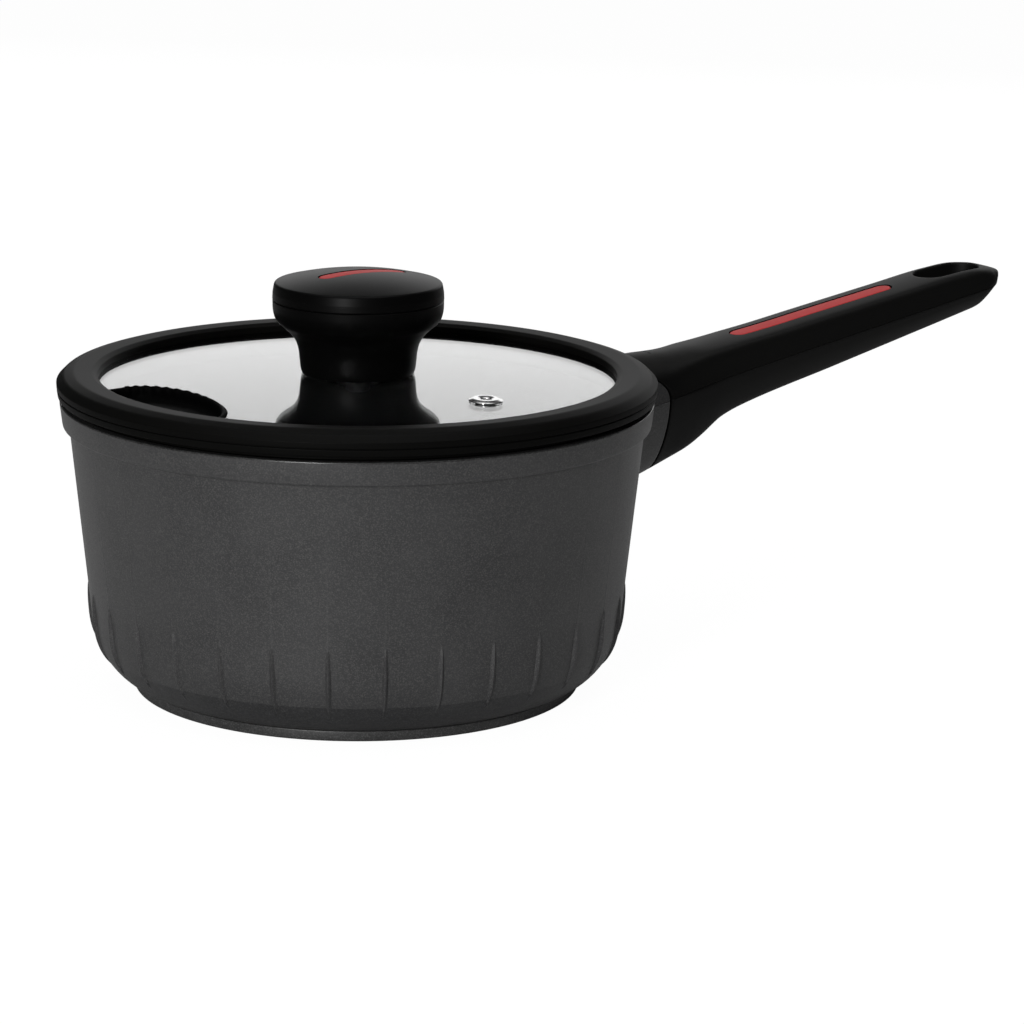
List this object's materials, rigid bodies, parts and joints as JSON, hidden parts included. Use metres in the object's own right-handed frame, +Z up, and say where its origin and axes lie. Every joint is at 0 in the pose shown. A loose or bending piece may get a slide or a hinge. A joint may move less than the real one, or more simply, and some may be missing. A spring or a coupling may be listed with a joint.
{
  "type": "saucepan with lid",
  "caption": "Straight-sided cast saucepan with a rising long handle, a ribbed lower corner and a lift-off glass lid with a knob, steam vent and strainer.",
  "frame": {"origin": "centre of the base on the surface the pan stands on, on the pan's axis", "axes": "+Z up along the pan's axis; +X along the handle"},
  "size_m": [0.4015, 0.218, 0.1523],
  "materials": {
    "coating": "speckled dark graphite coating on cast aluminium, satin",
    "base_steel": "turned magnetic steel",
    "grip": "black thermoset plastic, matt soft touch",
    "red": "red silicone, satin",
    "silicone": "black silicone, matt",
    "steel": "zinc plated and stainless steel",
    "polished": "polished stainless steel",
    "lid_glass": "clear tempered glass"
  },
  "bodies": {
    "pan": {"pan_body": "coating", "base_disc": "base_steel", "handle_upper_shell": "grip", "handle_lower_shell": "grip", "handle_inlay": "red", "handle_gasket": "silicone", "handle_tang": "steel", "tang_bolt": "steel", "shell_screw_1": "steel", "shell_screw_2": "steel", "shell_screw_3": "steel"},
    "lid": {"lid_glass": "lid_glass", "lid_ring": "silicone", "lid_strainer": "silicone", "vent_eyelet": "polished", "vent_collar": "polished", "lid_gasket": "silicone", "knob_gasket": "silicone", "knob_body": "grip", "knob_cap": "grip", "knob_inlay": "red", "knob_insert": "steel", "knob_screw": "steel", "knob_washer": "steel"}
  },
  "joints": [
    {"name": "lid_lift", "type": "slide", "parent": "pan", "child": "lid", "axis": [0, 0, 1], "range_m": [0, 0.15]}
  ]
}
